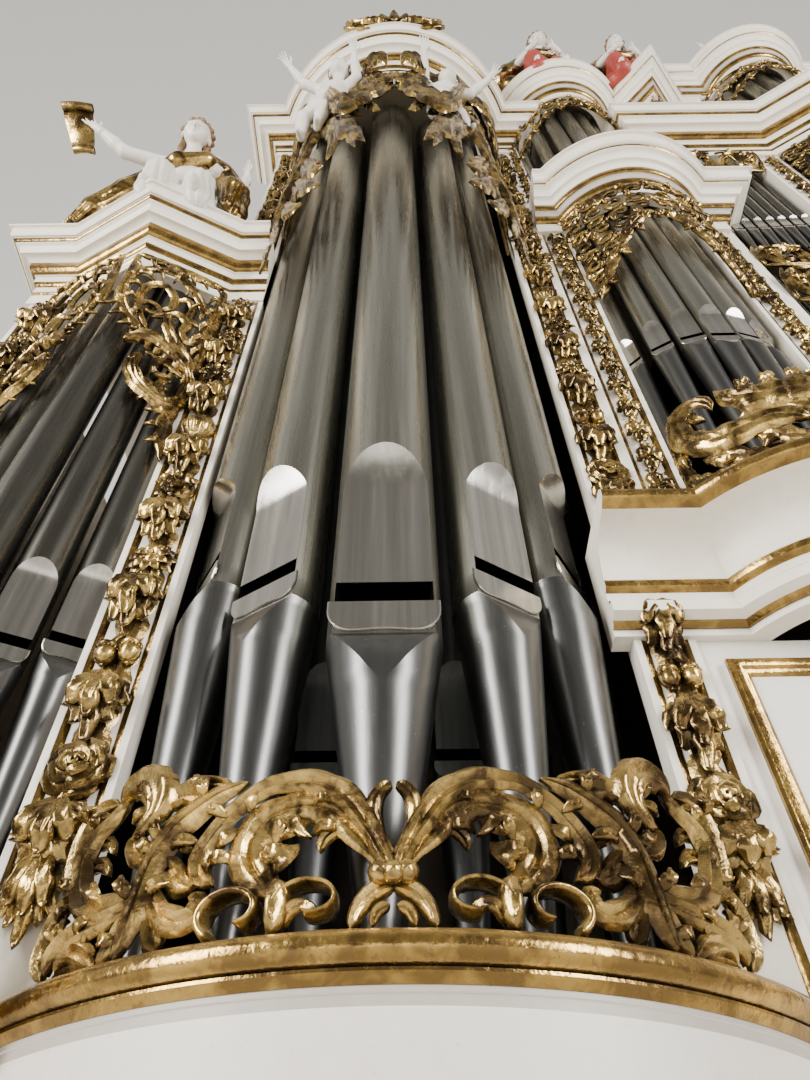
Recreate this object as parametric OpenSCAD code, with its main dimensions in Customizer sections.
// Large pipe organ: a white panelled case with gilded mouldings and carving,
// front pipes in round, pointed, bowed and flat fields, mirrored about X = 0.
// Frame: millimetres, X to the right, Y to the back, Z up.
// Origin: on the floor, in the middle of the front (pilaster) plane.

/* [Case] */
// Half of the case's width, to the outer faces of the side walls
case_half_w = 5544; // [5500:1:5600]
// Depth of the case, from the pilaster plane to the outer face of the back wall
case_depth = 1800; // [1700:10:2000]
// Height of the lower case, up to the feet of the large front pipes
lower_h = 2200; // [2150:10:2250]
// Thickness of the case boards
board_t = 60; // [40:5:70]
// Height of the plinth course
plinth_h = 250; // [200:10:300]

/* [Tall round towers] */
// Distance of each tall round tower's centre from the middle of the organ
tower_x = 3550; // [3540:1:3560]
// Half of the opening between the pilasters
tower_open = 723; // [720:1:726]
// Height of the underside of the entablature
tower_arch_z = 8470; // [8400:10:8500]
// Height of the top of the cornice
tower_top_z = 8970; // [8950:10:9000]
// Diameter of the middle pipe
tower_pipe_d = 320; // [280:2:330]

/* [Pointed outer towers] */
// Distance of each pointed tower's centre from the middle of the organ
vee_x = 4910; // [4905:1:4915]
// Underside of the entablature
vee_arch_z = 5670; // [5600:10:5700]
// Top of the cornice
vee_top_z = 6260; // [6240:10:6300]

/* [Bowed bays] */
// Distance of each bowed bay's centre from the middle of the organ
bow_x = 2043; // [2038:1:2048]
// Top of the base moulding
bow_base_z = 3620; // [3600:10:3640]
// Underside of the entablature
bow_arch_z = 6630; // [6600:10:6650]
// Top of the cornice
bow_top_z = 7130; // [7110:10:7150]

/* [Centre and flats] */
// Half width of the pointed centre tower's opening
centre_open = 500; // [490:1:505]
// Underside of the entablature over the centre tower and the flats
centre_arch_z = 8300; // [8280:10:8320]
// Top of that cornice
centre_top_z = 8850; // [8840:10:8880]
// Underside of the lower round centre tower's entablature
low_arch_z = 5700; // [5650:10:5720]
// Top of that cornice
low_top_z = 6200; // [6180:10:6220]

/* [Upper storey] */
// Underside of the entablature over the small upper towers
upper_arch_z = 9000; // [8990:10:9020]
// Top of that cornice
upper_top_z = 9450; // [9440:10:9480]
// Underside of the top round tower's entablature
crest_arch_z = 10250; // [10200:10:10280]
// Top of that cornice
crest_top_z = 10720; // [10700:10:10750]

/* [Mouldings] */
// How far the cornices stand out from the wall below them
cornice_out = 270; // [240:5:280]

/* [Hidden] */
$fn = 48;
in_t = 40;                 // wall behind a moulding
pil_l0 = 4276; pil_l1 = 4500;   // pilaster between pointed and round tower
pil_o0 = 5320; pil_o1 = 5544;   // outermost pilaster
pil_w0 = 2643; pil_w1 = 2830;   // pilaster with the wide drop
pil_n0 = 2456; pil_n1 = 2643;   // pilaster with the narrow drop
pil_r0 = 1450; pil_r1 = 1630;   // inner pilaster of the bowed bay
pil_c0 = 500;  pil_c1 = 700;    // stile beside the centre tower
tower_sag = 570;
vee_open = 410; vee_sag = 210;
bow_open = 413; bow_sag = 230;
low_sag = 280; centre_sag = 300;
upper_r_x = 2100; upper_r_open = 450; upper_r_sag = 300;
upper_v_x = 1350; upper_v_open = 250; upper_v_sag = 280;
crest_open = 520; crest_sag = 330;
white = [0.92, 0.90, 0.86];
gold = [0.72, 0.57, 0.28];
tin = [0.42, 0.42, 0.41];
dark = [0.16, 0.13, 0.11];

// ---- plan paths: lists of [x, y], from left to right, outward is -Y ----
function arc_r(c, s) = (c * c + s * s) / (2 * s);
// points of an arc over a chord of half width c and rise s, n segments
function arc_pts(xc, c, s, n) = let (r = arc_r(c, s), a = asin(c / r))
  [for (i = [0:n]) let (t = -a + 2 * a * i / n) [xc + r * sin(t), r - s - r * cos(t)]];
function vee_pts(xc, c, s) = [[xc - c, 0], [xc, -s], [xc + c, 0]];

// mitred offset direction at point i of a path
function seg_n(p, i) = let (d = p[i + 1] - p[i], l = norm(d)) [d[1] / l, -d[0] / l];
function mitre(p, i) =
  i == 0 ? seg_n(p, 0) :
  i == len(p) - 1 ? seg_n(p, i - 1) :
  let (a = seg_n(p, i - 1), b = seg_n(p, i)) (a + b) / (1 + a * b);

// Stations of a moulded run. A corner station is [0, x, y, mx, my]: a point that
// stands out by o lies at (x + mx * o, y + my * o). An arc station is
// [1, xc, yc, r, u]: u goes from -1 to 1 between the places where the bow meets
// the straight run, for every offset o of its own.
function st_pt(s, o) = s[0] == 0 ? [s[1] + s[3] * o, s[2] + s[4] * o]
  : let (t = acos((s[2] + o) / (s[3] + o)) * s[4]) [s[1] + (s[3] + o) * sin(t), s[2] - (s[3] + o) * cos(t)];
function bow_st(xc, c, s, n) = let (r = arc_r(c, s)) [for (i = [0:n]) [1, xc, r - s, r, -1 + 2 * i / n]];
function vee_st(xc, c, s) = let (l = norm([c, s]), m = ([0, -1] + [-s, -c] / l) / (1 + c / l))
  [[0, xc - c, 0, m[0], m[1]], [0, xc, -s, 0, -l / c], [0, xc + c, 0, -m[0], m[1]]];
function left_end(x, yb) = [[0, x, yb, -1, 0], [0, x, 0, -1, -1]];
function right_end(x, yb) = [[0, x, 0, 1, -1], [0, x, yb, 1, 0]];
function cut_end(x) = [[0, x, 0, 0, -1]];

// a profile of [out, up] points swept along stations
module run(p, prof, z0) {
  n = len(p); m = len(prof);
  polyhedron(
    points = [for (i = [0:n - 1]) for (q = prof) let (v = st_pt(p[i], q[0])) [v[0], v[1], z0 + q[1]]],
    faces = concat(
      [for (i = [0:n - 2]) for (j = [0:m - 1]) let (k = (j + 1) % m)
        each [[i * m + j, (i + 1) * m + k, (i + 1) * m + j], [i * m + j, i * m + k, (i + 1) * m + k]]],
      [[for (j = [m - 1:-1:0]) j]],
      [[for (j = [0:m - 1]) (n - 1) * m + j]]));
}

// entablature: architrave fascia, frieze, bed moulds, corona, top moulding
function entab(h, out) = [for (q = [
  [0.11, 0], [0.11, 0.20], [0.16, 0.23], [0.12, 0.25], [0.12, 0.34], [0.19, 0.38],
  [0.22, 0.49], [0.38, 0.58], [0.44, 0.66], [0.72, 0.78], [0.80, 0.84], [0.88, 0.92], [1, 1]])
  [q[0] * out, q[1] * h]];
module entablature(p, z0, z1, out = cornice_out) {
  run(p, concat([[-in_t, z1 - z0], [-in_t, 0]], entab(z1 - z0, out)), z0);
}
// flat board inside a run, closed along the line y = yb
module deck(p, yb, z0, t, gap = in_t) {
  q = [for (s = p) st_pt(s, -gap)]; n = len(q);
  translate([0, 0, z0]) linear_extrude(t)
    polygon(concat([for (v = q) if (v[1] < yb - 1) v], [[q[n - 1][0], yb], [q[0][0], yb]]));
}
module both() { children(); mirror([1, 0, 0]) children(); }
module block(x0, x1, y0, y1, z0, z1) translate([x0, y0, z0]) cube([x1 - x0, y1 - y0, z1 - z0]);

// cornice paths of the left half and the middle
tower_path = concat(left_end(-tower_x - 950, 300), bow_st(-tower_x, tower_open - 8, tower_sag, 16), right_end(-tower_x + 925, 300));
vee_path = concat(left_end(-pil_o1, 500), vee_st(-vee_x, 430, vee_sag), cut_end(-pil_l0));
bow_path = concat(cut_end(-pil_w0), bow_st(-bow_x, bow_open, bow_sag, 12), right_end(-pil_r0, 300));
centre_path = concat(left_end(-1480, 300), vee_st(0, centre_open, centre_sag), right_end(1480, 300));
low_path = concat(left_end(-pil_c1, 300), bow_st(0, centre_open, low_sag, 12), right_end(pil_c1, 300));
upper_path = concat(left_end(-2643, 300), bow_st(-upper_r_x, upper_r_open - 70, upper_r_sag, 12),
  vee_st(-upper_v_x, upper_v_open, upper_v_sag), right_end(-1050, 300));
crest_path = concat(left_end(-620, 300), bow_st(0, crest_open - 120, crest_sag, 12), right_end(620, 300));

// ---- pipes ----
// one front pipe: conical foot, seam, mouth with flattened lips, open top.
// x, y: place of the axis; turn: direction of the mouth
module organ_pipe(x, y, d, toe, mouth, top, turn = 0) {
  r = d / 2; up = 0.2 * d; lip = 1.9 * d;
  translate([x, y, 0]) rotate([0, 0, turn]) {
    difference() {
      union() {
        translate([0, 0, toe]) cylinder(h = mouth - toe - 0.35 * d, r1 = 0.13 * d, r2 = r);
        translate([0, 0, mouth - 0.35 * d - 0.01]) cylinder(h = top - mouth + 0.35 * d, r = r);
      }
      // bore, open at the top
      translate([0, 0, mouth - 0.2 * d]) cylinder(h = top - mouth + d, r = 0.78 * r);
      // flattened upper lip with a round head
      intersection() {
        translate([-r, -d - 0.87 * r, mouth - 0.02]) cube([d, d, lip]);
        union() {
          translate([-0.46 * d, -d, mouth - 1]) cube([0.92 * d, d, lip - 0.44 * d]);
          translate([0, 0, mouth + lip - 0.46 * d]) rotate([90, 0, 0]) cylinder(h = d, r = 0.46 * d);
        }
      }
      // the slot of the mouth
      translate([-0.42 * d, -d, mouth]) cube([0.84 * d, d * 0.8, up]);
    }
    // lower lip
    translate([-0.42 * d, -r - 0.03 * d, mouth - 0.34 * d]) cube([0.84 * d, 0.3 * r, 0.33 * d]);
  }
}
// fields of pipes: each pipe is [offset from the field's centre, y, diameter, mouth height, turn]
tower_set = [for (s = [-1, 1]) for (q = [[330, -95, 0.81, 3300, 32], [555, 30, 0.75, 3480, 58], [648, 232, 0.6, 3650, 80]])
  [s * q[0], q[1], q[2] * tower_pipe_d, q[3], s * q[4]]];
vee_set = [for (s = [-2:2]) [s * 160, -90 + abs(s) * 80, 168 - abs(s) * 4, 3120 + abs(s) * 60, s == 0 ? 0 : sign(s) * 26]];
bow_set = [for (s = [-3:3]) [s * 130 - sign(s) * s * s * 5, -125 + s * s * 19, 130 - abs(s) * 10, 4900 + abs(s) * 30, s * 15]];
low_set = [for (s = [-3:3]) [s * 150 - sign(s) * s * s * 4, -130 + s * s * 24, 146 - abs(s) * 10, 4700 + abs(s) * 35, s * 17]];
centre_set = [for (s = [-3:3]) [s * 140, -150 + abs(s) * 84, 146 - abs(s) * 6, 7050 + abs(s) * 40, s == 0 ? 0 : sign(s) * 30]];
upper_r_set = [for (s = [-3:3]) [s * 130 - sign(s) * s * s * 4, -150 + s * s * 27, 128 - abs(s) * 8, 7700 + abs(s) * 30, s * 18]];
upper_v_set = [for (s = [-1:1]) [s * 105, -60 + abs(s) * 80, 96 - abs(s) * 8, 9010, 0]];
crest_set = [for (s = [-3:3]) [s * 145 - sign(s) * s * s * 4, -170 + s * s * 30, 140 - abs(s) * 8, 9300 + abs(s) * 30, s * 18]];

module field(xc, set, toe, top) {
  for (q = set) organ_pipe(xc + q[0], q[1], q[2], toe, q[3], top, q[4]);
}
module flat_row(xa, xb, n, d, toe, mouth, rise, top) {
  for (i = [0:n - 1]) organ_pipe(xa + (xb - xa) * (i + 0.5) / n, 70, d, toe, mouth + rise * i, top, 0);
}

// ---- case ----
module plinth() color(white) difference() {
  block(-case_half_w - 60, case_half_w + 60, -60, case_depth + 60, 0, plinth_h);
  block(-case_half_w + board_t, case_half_w - board_t, board_t, case_depth - board_t, -1, plinth_h + 1);
}
// lower panels lie between the uprights
panel_x = [-5100, -4300, -3450, -2600, -1750, -880, 0, 880, 1750, 2600, 3450, 4300, 5100];
module lower_case_front() color(white) difference() {
  block(-case_half_w, case_half_w, 0, board_t, plinth_h, lower_h);
  for (x = panel_x) block(x - 290, x + 290, -10, 25, plinth_h + 180, lower_h - 760);
}
module lower_case_panels() color(white)
  for (x = panel_x) block(x - 290, x + 290, 5, 25, plinth_h + 180, lower_h - 760);
module upper_front_panels() color(white) {
  // white panelled zone under the bowed bays, the flats and the middle
  block(-pil_n1, pil_n1, 0, board_t, lower_h, bow_base_z - 430);
  block(-420, 420, -14, 0, lower_h + 60, bow_base_z - 520);
  both() raised_panels();
}
module raised_panels() {
  block(-pil_n1 + 60, -pil_n0 + 350, -14, 0, lower_h + 60, bow_base_z - 520);
  block(-1950, -1400, -14, 0, lower_h + 60, bow_base_z - 520);
  block(-1300, -760, -14, 0, lower_h + 60, bow_base_z - 520);
}
module case_sides() color(white) both() difference() {
  block(-case_half_w, -case_half_w + board_t, board_t, case_depth - board_t, plinth_h, vee_arch_z);
  for (z = [plinth_h + 200, 2400, 4050]) for (y = [220, 1000])
    block(-case_half_w - 10, -case_half_w + 20, y, y + 560, z, z + 1400);
}
// walls between the bays, in the upper case
module bay_walls() color(dark) both() {
  block(-4418, -4358, board_t, case_depth - board_t, lower_h + 40, tower_top_z - 30);
  block(-2673, -2613, board_t, case_depth - board_t, lower_h + 40, tower_top_z - 30);
  block(-1570, -1510, board_t, case_depth - board_t, lower_h + 40, centre_top_z - 30);
  block(-630, -570, board_t, case_depth - board_t, lower_h + 40, centre_top_z - 30);
}
module back_wall() color(white) translate([0, case_depth, 0]) rotate([90, 0, 0]) difference() {
  linear_extrude(board_t) polygon(concat(
    [[-case_half_w, plinth_h], [case_half_w, plinth_h], [case_half_w, vee_top_z - 30], [4418, vee_top_z - 30],
     [4418, tower_top_z - 30], [2613, tower_top_z - 30], [2613, bow_top_z - 30], [1570, bow_top_z - 30], [1570, centre_top_z - 30]],
    [[-1570, centre_top_z - 30], [-1570, bow_top_z - 30], [-2613, bow_top_z - 30], [-2613, tower_top_z - 30],
     [-4418, tower_top_z - 30], [-4418, vee_top_z - 30], [-case_half_w, vee_top_z - 30]]));
  for (x = [-4981, -3515, -2091, -1050, 0, 1050, 2091, 3515, 4981])
    for (z = [plinth_h + 200, 2400, 4100])
      translate([x - (abs(x) > 3000 && abs(x) < 4000 ? 700 : 350), z, -1]) cube([abs(x) > 3000 && abs(x) < 4000 ? 1400 : 700, 1500, 26]);
}
module roofs() color(white) {
  both() {
    deck(vee_path, case_depth, vee_top_z - 30, 30);
    deck(tower_path, case_depth, tower_top_z - 30, 30);
    deck(bow_path, case_depth, bow_top_z - 30, 30);
    deck(upper_path, 700, upper_top_z - 30, 30);
  }
  deck(centre_path, case_depth, centre_top_z - 30, 30);
  deck(low_path, board_t, low_top_z - 30, 30);
  deck(crest_path, 700, crest_top_z - 30, 30);
}
// boards that carry the feet of the pipes
module toe_boards() color(dark) {
  both() {
    block(-case_half_w + board_t, -4418, board_t, 700, lower_h, lower_h + 40);
    block(-4358, -2673, board_t, 1100, lower_h, lower_h + 40);
    block(-2613, -1570, board_t, 700, bow_base_z - 20, bow_base_z + 20);
    block(-1510, -630, board_t, 600, bow_base_z - 20, bow_base_z + 20);
    block(-1510, -630, board_t, 600, 6400, 6440);
  }
  block(-570, 570, board_t, 700, bow_base_z - 20, bow_base_z + 20);
  block(-570, 570, board_t, 700, 6200, 6240);
}
// pilaster board with two raised edges
module pilaster(x0, x1, z0, z1) {
  block(x0, x1, 0, board_t, z0, z1);
  block(x0, x0 + 22, -14, 0, z0, z1);
  block(x1 - 22, x1, -14, 0, z0, z1);
}
module tall_pilasters() color(white) both() {
  pilaster(-pil_l1, -pil_l0, lower_h, tower_arch_z);
  pilaster(-pil_w1, -pil_w0, lower_h, tower_arch_z);
}
module outer_pilasters() color(white) both() pilaster(-pil_o1, -pil_o0, lower_h, vee_arch_z);
module bay_pilasters() color(white) both() {
  pilaster(-pil_n1, -pil_n0, bow_base_z, bow_arch_z);
  pilaster(-pil_r1, -pil_r0, bow_base_z, bow_arch_z);
}
module centre_stiles() color(white) both() {
  pilaster(-pil_c1, -pil_c0, bow_base_z, low_arch_z);
  pilaster(-pil_c1, -pil_c0, low_top_z, centre_arch_z);
  block(-pil_r0, -pil_r0 + 60, 0, board_t, bow_base_z, centre_arch_z);
  pilaster(-2643, -2550, bow_top_z, upper_arch_z);
  pilaster(-1650, -1480, bow_top_z, upper_arch_z);
  block(-1100, -1050, 0, board_t, centre_top_z, upper_arch_z);
  pilaster(-620, -500, centre_top_z, crest_arch_z);
}
// carved chain of flowers and leaves hung on a pilaster
module drop(xc, w, z0, z1) {
  n = floor((z1 - z0) / (w * 3.4)); s = (z1 - z0) / n;
  block(xc - w * 0.22, xc + w * 0.22, -w * 0.2, 0, z0, z1);
  for (i = [0:n - 1]) translate([xc, 0, z0 + s * (i + 0.5)]) {
    intersection() {
      sphere(r = w * 0.5);
      translate([-w, -w * 0.42, -w]) cube([2 * w, w * 0.42, 2 * w]);
    }
    translate([-w * 0.4, -w * 0.3, -s * 0.5 + 4]) cube([w * 0.8, w * 0.3, s * 0.28]);
  }
}
module wide_drops() color(gold) both() {
  drop(-(pil_l0 + pil_l1) / 2, 130, 2320, 5600);
  drop(-(pil_l0 + pil_l1) / 2, 130, 6340, 8300);
  drop(-(pil_w0 + pil_w1) / 2, 118, 2320, 8300);
  drop(-(pil_o0 + pil_o1) / 2, 130, 2320, 5600);
}
module narrow_drops() color(gold) both() {
  drop(-(pil_n0 + pil_n1) / 2, 78, 3680, 6560);
  drop(-(pil_r0 + pil_r1) / 2, 78, 3680, 6560);
}

// ---- tower bases ----
// front part of a turned shape about the tower's axis, behind the front plane is cut off
module front_turn(xc, yc) intersection() {
  translate([xc, yc, 0]) rotate_extrude($fn = 96) children();
  block(xc - 1300, xc + 1300, -1300, 0, 0, 12000);
}
module corbel(xc, yc, r, z1, h) front_turn(xc, yc) polygon([
  [0, z1], [r - 30, z1], [r - 34, z1 - 0.14 * h], [r - 50, z1 - 0.3 * h], [r - 90, z1 - 0.48 * h],
  [r - 160, z1 - 0.66 * h], [r - 250, z1 - 0.84 * h], [r - 330, z1 - h], [0, z1 - h]]);
module tower_corbels() color(white) both() corbel(-tower_x, 800, 1190, lower_h - 90, 900);
module tower_base_mouldings() color(gold) both() {
  front_turn(-tower_x, 800) polygon([[1000, lower_h - 90], [1165, lower_h - 90], [1178, lower_h - 64], [1000, lower_h - 64]]);
  front_turn(-tower_x, 800) translate([1169, lower_h - 32]) circle(r = 31);
  front_turn(-tower_x, 800) polygon([[1000, lower_h - 64], [1170, lower_h - 64], [1170, lower_h], [1000, lower_h]]);
}
module tower_fretwork() color(gold) both() difference() {
  run(bow_st(-tower_x, 826, 350, 14), [[-40, 300], [-40, 0], [0, 0], [0, 300]], lower_h);
  for (a = [-36:12:36]) translate([-tower_x, 800, lower_h + 140 + abs(a) * 1.5]) rotate([90, 0, a]) cylinder(h = 1300, r = 62, $fn = 24);
}
vee_base_path = concat(cut_end(-pil_o1), vee_st(-vee_x, 430, vee_sag), cut_end(-pil_l1 + 100));
module vee_corbels() color(white) both()
  run(vee_base_path, [[-20, 0], [-20, -560], [16, -560], [60, -420], [110, -260], [148, -120], [160, 0]], lower_h - 90);
module vee_base_mouldings() color(gold) both()
  run(vee_base_path, [[-20, 90], [-20, 0], [164, 0], [172, 26], [188, 34], [198, 56], [190, 80], [170, 90]], lower_h - 90);
module vee_fretwork() color(gold) both() difference() {
  run(vee_st(-vee_x, 430, vee_sag), [[110, 300], [110, 0], [150, 0], [150, 300]], lower_h);
  for (s = [-1, 1]) for (k = [1:3]) translate([-vee_x + s * k * 125, 100, lower_h + 150]) rotate([90, 0, 0]) cylinder(h = 700, r = 48, $fn = 24);
}
bow_base_path = concat(cut_end(-pil_w0 - 247), bow_st(-bow_x, bow_open, bow_sag, 12), cut_end(-pil_r0));
module bow_bases() color(white) both()
  run(bow_base_path, [[-in_t, -66], [-in_t, -430], [30, -430], [34, -400], [90, -380], [92, -330], [60, -300], [70, -262],
    [74, -250], [84, -200], [112, -150], [160, -110], [226, -84], [250, -66]], bow_base_z);
module bow_base_mouldings() color(gold) both()
  run(bow_base_path, [[-in_t, 0], [-in_t, -65], [252, -65], [262, -40], [280, -28], [280, -8], [270, 0]], bow_base_z);
module centre_base() color(white)
  run(concat(cut_end(-pil_r0), bow_st(0, centre_open, low_sag, 12), cut_end(pil_r0)), [[-in_t, 0], [-in_t, -430], [30, -430],
    [34, -400], [90, -380], [92, -330], [60, -300], [74, -250], [84, -200], [112, -150], [160, -110], [226, -84], [252, -65],
    [262, -40], [280, -28], [280, -8], [270, 0]], bow_base_z);
module bay_fretwork() color(gold) {
  both() difference() {
    run(bow_st(-bow_x, bow_open, bow_sag, 12), [[200, 250], [200, 0], [235, 0], [235, 250]], bow_base_z);
    for (a = [-50:25:50]) translate([-bow_x, 250, bow_base_z + 120]) rotate([90, 0, a]) cylinder(h = 900, r = 45, $fn = 24);
  }
  run(bow_st(0, centre_open, low_sag, 12), [[200, 250], [200, 0], [235, 0], [235, 250]], bow_base_z);
}

// ---- pipe shades: carved boards under the entablatures, in two halves ----
// points of one side of a folded or straight run
function line_pts(a, b, n) = [for (i = [0:n]) a + (b - a) * i / n];
// height of a shade's lower edge at a distance u (0 middle, 1 side)
function shade_low(u, zs, zm) = zm - (zm - zs) * (u < 0.2 ? 0 : u > 0.92 ? 1 : pow((u - 0.2) / 0.72, 1.3));
module shade_half(p, xc, c, zs, zm, z1, t = 30) {
  n = len(p);
  polyhedron(
    points = [for (i = [0:n - 1]) let (v = mitre(p, i), z = shade_low(min(1, abs(p[i][0] - xc) / c), zs, zm))
      each [for (q = [[-t, z1], [-t, z], [0, z], [0, z1]]) [p[i][0] + v[0] * q[0], p[i][1] + v[1] * q[0], q[1]]]],
    faces = concat([[3, 2, 1, 0]], [[for (j = [0:3]) (n - 1) * 4 + j]],
      [for (i = [0:n - 2]) for (j = [0:3]) let (k = (j + 1) % 4)
        each [[i * 4 + j, (i + 1) * 4 + k, (i + 1) * 4 + j], [i * 4 + j, i * 4 + k, (i + 1) * 4 + k]]]));
}
function arc_half(xc, c, s, n, side) = let (p = arc_pts(xc, c, s, 2 * n))
  side < 0 ? [for (i = [0:n]) i == n ? p[i] - [5, 0] : p[i]] : [for (i = [n:2 * n]) i == n ? p[i] + [5, 0] : p[i]];
module arc_shade(xc, c, s, zs, zm, z1, n = 7) for (side = [-1, 1]) shade_half(arc_half(xc, c, s, n, side), xc, c, zs, zm, z1);
module vee_shade(xc, c, s, zs, zm, z1, n = 4) {
  shade_half(line_pts([xc - c, 0], [xc - 5, -s], n), xc, c, zs, zm, z1);
  shade_half(line_pts([xc + 5, -s], [xc + c, 0], n), xc, c, zs, zm, z1);
}
module tower_shades() color(gold) both() arc_shade(-tower_x, tower_open - 8, tower_sag, 6150, 7750, tower_arch_z, 8);
module vee_shades() color(gold) both() vee_shade(-vee_x, 410, vee_sag, 4400, 5080, vee_arch_z);
module bow_shades() color(gold) both() arc_shade(-bow_x, bow_open, bow_sag, 5680, 6180, bow_arch_z);
module centre_shades() color(gold) {
  vee_shade(0, centre_open, centre_sag, 7350, 7950, centre_arch_z);
  arc_shade(0, centre_open, low_sag, 4950, 5350, low_arch_z);
}
module flat_carvings() color(gold) both() {
  block(-1390, -700, 0, 25, 7930, centre_arch_z);
  block(-1390, -700, 0, 25, 6080, 6400);
  block(-1390, -700, 0, 25, 5600, 5950);
  block(-1390, -700, 0, 25, bow_base_z, bow_base_z + 180);
}
module upper_shades() color(gold) {
  both() {
    arc_shade(-upper_r_x, upper_r_open, upper_r_sag, 8250, 8750, upper_arch_z);
    vee_shade(-upper_v_x, upper_v_open, upper_v_sag, 8860, 8950, upper_arch_z, 2);
  }
  arc_shade(0, crest_open - 20, crest_sag, 9550, 9980, crest_arch_z);
}

// ---- entablatures ----
module tower_entablatures() color(white) both() entablature(tower_path, tower_arch_z, tower_top_z, 300);
module vee_entablatures() color(white) both() entablature(vee_path, vee_arch_z, vee_top_z, 250);
module bow_entablatures() color(white) both() entablature(bow_path, bow_arch_z, bow_top_z);
module centre_entablature() color(white) entablature(centre_path, centre_arch_z, centre_top_z, 300);
module low_entablature() color(white) entablature(low_path, low_arch_z, low_top_z, 220);
module upper_entablatures() color(white) both() entablature(upper_path, upper_arch_z, upper_top_z, 230);
module crest_entablature() color(white) entablature(crest_path, crest_arch_z, crest_top_z, 260);

// ---- upper storey backs ----
module upper_backs() color(dark) {
  both() {
    block(-2613, -1570, 640, 700, bow_top_z, upper_top_z - 30);
    block(-1510, -1050, 640, 700, centre_top_z, upper_top_z - 30);
    block(-2643, -2613, board_t, 700, bow_top_z, upper_top_z - 30);
    block(-1080, -1050, board_t, 640, centre_top_z, upper_top_z - 30);
  }
  block(-620, 620, 640, 700, centre_top_z, crest_top_z - 30);
  both() block(-620, -590, board_t, 640, centre_top_z, crest_top_z - 30);
}

// ---- pipes as nodes ----
module tower_pipes() color(tin) both() {
  organ_pipe(-tower_x - 30, -180, tower_pipe_d, lower_h + 40, 3120, 8700);
  field(-tower_x - 30, tower_set, lower_h + 40, 8700);
}
module inner_pipes() color(dark) both() for (i = [-2:2])
  organ_pipe(-tower_x - 30 + i * 230, 330 + abs(i) * 90, 190 - abs(i) * 10, lower_h + 40, 2950 + abs(i) * 80, 7600 - abs(i) * 500);
module vee_pipes() color(tin) both() field(-vee_x, vee_set, lower_h + 40, 5900);
module bow_pipes() color(tin) both() field(-bow_x, bow_set, bow_base_z + 20, 6850);
module flat_pipes() color(tin) both() {
  flat_row(-1390, -700, 8, 74, bow_base_z + 20, 4300, -18, 6050);
  flat_row(-1390, -700, 8, 74, 6440, 6850, 12, 8250);
}
module centre_low_pipes() color(tin) field(0, low_set, bow_base_z + 20, 5900);
module centre_pipes() color(tin) field(0, centre_set, 6240, 8500);
module upper_pipes() color(tin) {
  both() {
    field(-upper_r_x, upper_r_set, bow_top_z, 9150);
    field(-upper_v_x, upper_v_set, centre_top_z, 9200);
  }
  field(0, crest_set, centre_top_z, 10450);
}

// ---- figures: closed faceted bodies of eight-sided limbs ----
module limb(a, b, r, q = 0) {
  d = b - a; l = norm(d); e = q == 0 ? r : q;
  translate(a) {
    rotate([0, acos(d[2] / l), atan2(d[1], d[0])]) cylinder(h = l, r1 = r, r2 = e, $fn = 8);
    sphere(r = r, $fn = 8);
    translate(d) sphere(r = e, $fn = 8);
  }
}
// small child figure sitting on the pipe shade, both arms raised
module putto(x, s) translate([x, -640, 7750]) {
  translate([0, -10, 400]) sphere(r = 92, $fn = 12);
  limb([0, 0, 120], [0, -10, 290], 88);
  limb([-60, -10, 270], [-s * 250, -60, 430], 34);
  limb([-s * 250, -60, 430], [-s * 330, -110, 640], 28);
  limb([60, -10, 270], [s * 190, -60, 420], 34);
  limb([s * 190, -60, 420], [s * 160, -130, 640], 28);
  limb([-40, 0, 100], [-90, -70, -60], 50);
  limb([40, 0, 100], [70, -60, -90], 50);
  limb([0, 60, 120], [0, 200, 160], 60);
}
module putti() color(white) both() { putto(-tower_x - 420, 1); putto(-tower_x + 420, -1); }
// reclining figure with one arm held out over a bare scroll
module angels() color(white) both() translate([-vee_x, -230, vee_top_z]) {
  limb([50, 60, 180], [50, -80, 600], 150);
  limb([50, -80, 600], [60, -175, 790], 85);
  translate([66, -246, 930]) sphere(r = 118, $fn = 12);
  limb([-100, -130, 715], [-355, -217, 715], 56);
  limb([-355, -217, 715], [-580, -350, 880], 44);
  limb([210, -125, 715], [350, 5, 470], 56);
  limb([350, 5, 470], [400, -80, 780], 44);
  for (k = [[-35, -50], [150, 200]]) {
    limb([k[0], 50, 160], [k[1], -170, 325], 98);
    limb([k[1], -170, 325], [k[1], -150, 95], 92);
  }
  limb([-30, -55, 730], [-290, -45, 420], 95);
  limb([-290, -45, 420], [-540, 25, 90], 75);
  limb([240, -25, 680], [370, -10, 110], 92);
  block(-775, -552, -365, -335, 740, 980);
  block(-300, 330, -140, 120, 0, 100);
}
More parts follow.
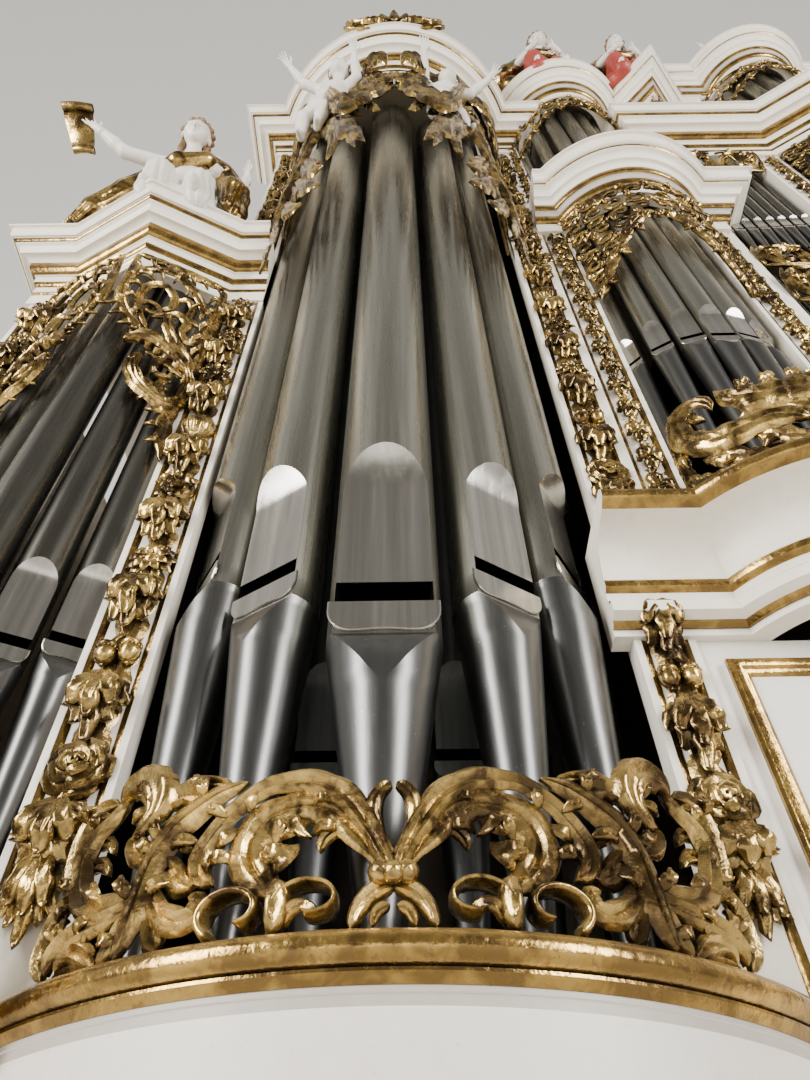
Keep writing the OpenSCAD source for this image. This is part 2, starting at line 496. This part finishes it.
module crowns() color(gold) both() translate([-tower_x, -640, tower_top_z]) {
  cylinder(h = 60, r = 225, $fn = 12);
  translate([0, -30, 50]) cylinder(h = 150, r1 = 170, r2 = 110, $fn = 12);
  translate([0, -40, 320]) sphere(r = 175, $fn = 12);
  translate([0, -40, 470]) cylinder(h = 160, r1 = 60, r2 = 20, $fn = 8);
  for (s = [-1, 1]) { limb([s * 130, -40, 80], [s * 400, -80, 120], 60); limb([s * 400, -80, 120], [s * 450, -60, 260], 45); }
}
module figure(x, y, z, h) translate([x, y, z]) {
  limb([0, -h * 0.05, h * 0.19], [0, -h * 0.18, h * 0.60], h * 0.15);
  limb([0, -h * 0.18, h * 0.60], [0, -h * 0.28, h * 0.80], h * 0.08);
  translate([0, -h * 0.34, h * 0.89]) sphere(r = h * 0.11, $fn = 12);
  for (k = [-1, 1]) {
    limb([k * h * 0.09, -h * 0.05, h * 0.15], [k * h * 0.12, -h * 0.26, h * 0.31], h * 0.10);
    limb([k * h * 0.12, -h * 0.26, h * 0.31], [k * h * 0.12, -h * 0.24, h * 0.09], h * 0.09);
  }
  translate([0, -h * 0.1, 0]) cylinder(h = h * 0.12, r = h * 0.3, $fn = 12);
}
module upper_figures() color(white) {
  both() { figure(-upper_r_x - 110, -200, upper_top_z, 950); figure(-upper_v_x - 130, -200, upper_top_z, 880); }
  figure(0, -100, crest_top_z, 696);
  both() limb([-180, -60, crest_top_z + 80], [-560, -60, crest_top_z + 330], 80);
}

plinth();
lower_case_front();
lower_case_panels();
upper_front_panels();
case_sides();
bay_walls();
back_wall();
roofs();
toe_boards();
tall_pilasters();
outer_pilasters();
bay_pilasters();
centre_stiles();
wide_drops();
narrow_drops();
tower_corbels();
tower_base_mouldings();
tower_fretwork();
vee_corbels();
vee_base_mouldings();
vee_fretwork();
bow_bases();
bow_base_mouldings();
centre_base();
bay_fretwork();
tower_shades();
vee_shades();
bow_shades();
centre_shades();
flat_carvings();
upper_shades();
tower_entablatures();
vee_entablatures();
bow_entablatures();
centre_entablature();
low_entablature();
upper_entablatures();
crest_entablature();
upper_backs();
tower_pipes();
inner_pipes();
vee_pipes();
bow_pipes();
flat_pipes();
centre_low_pipes();
centre_pipes();
upper_pipes();
putti();
angels();
crowns();
upper_figures();
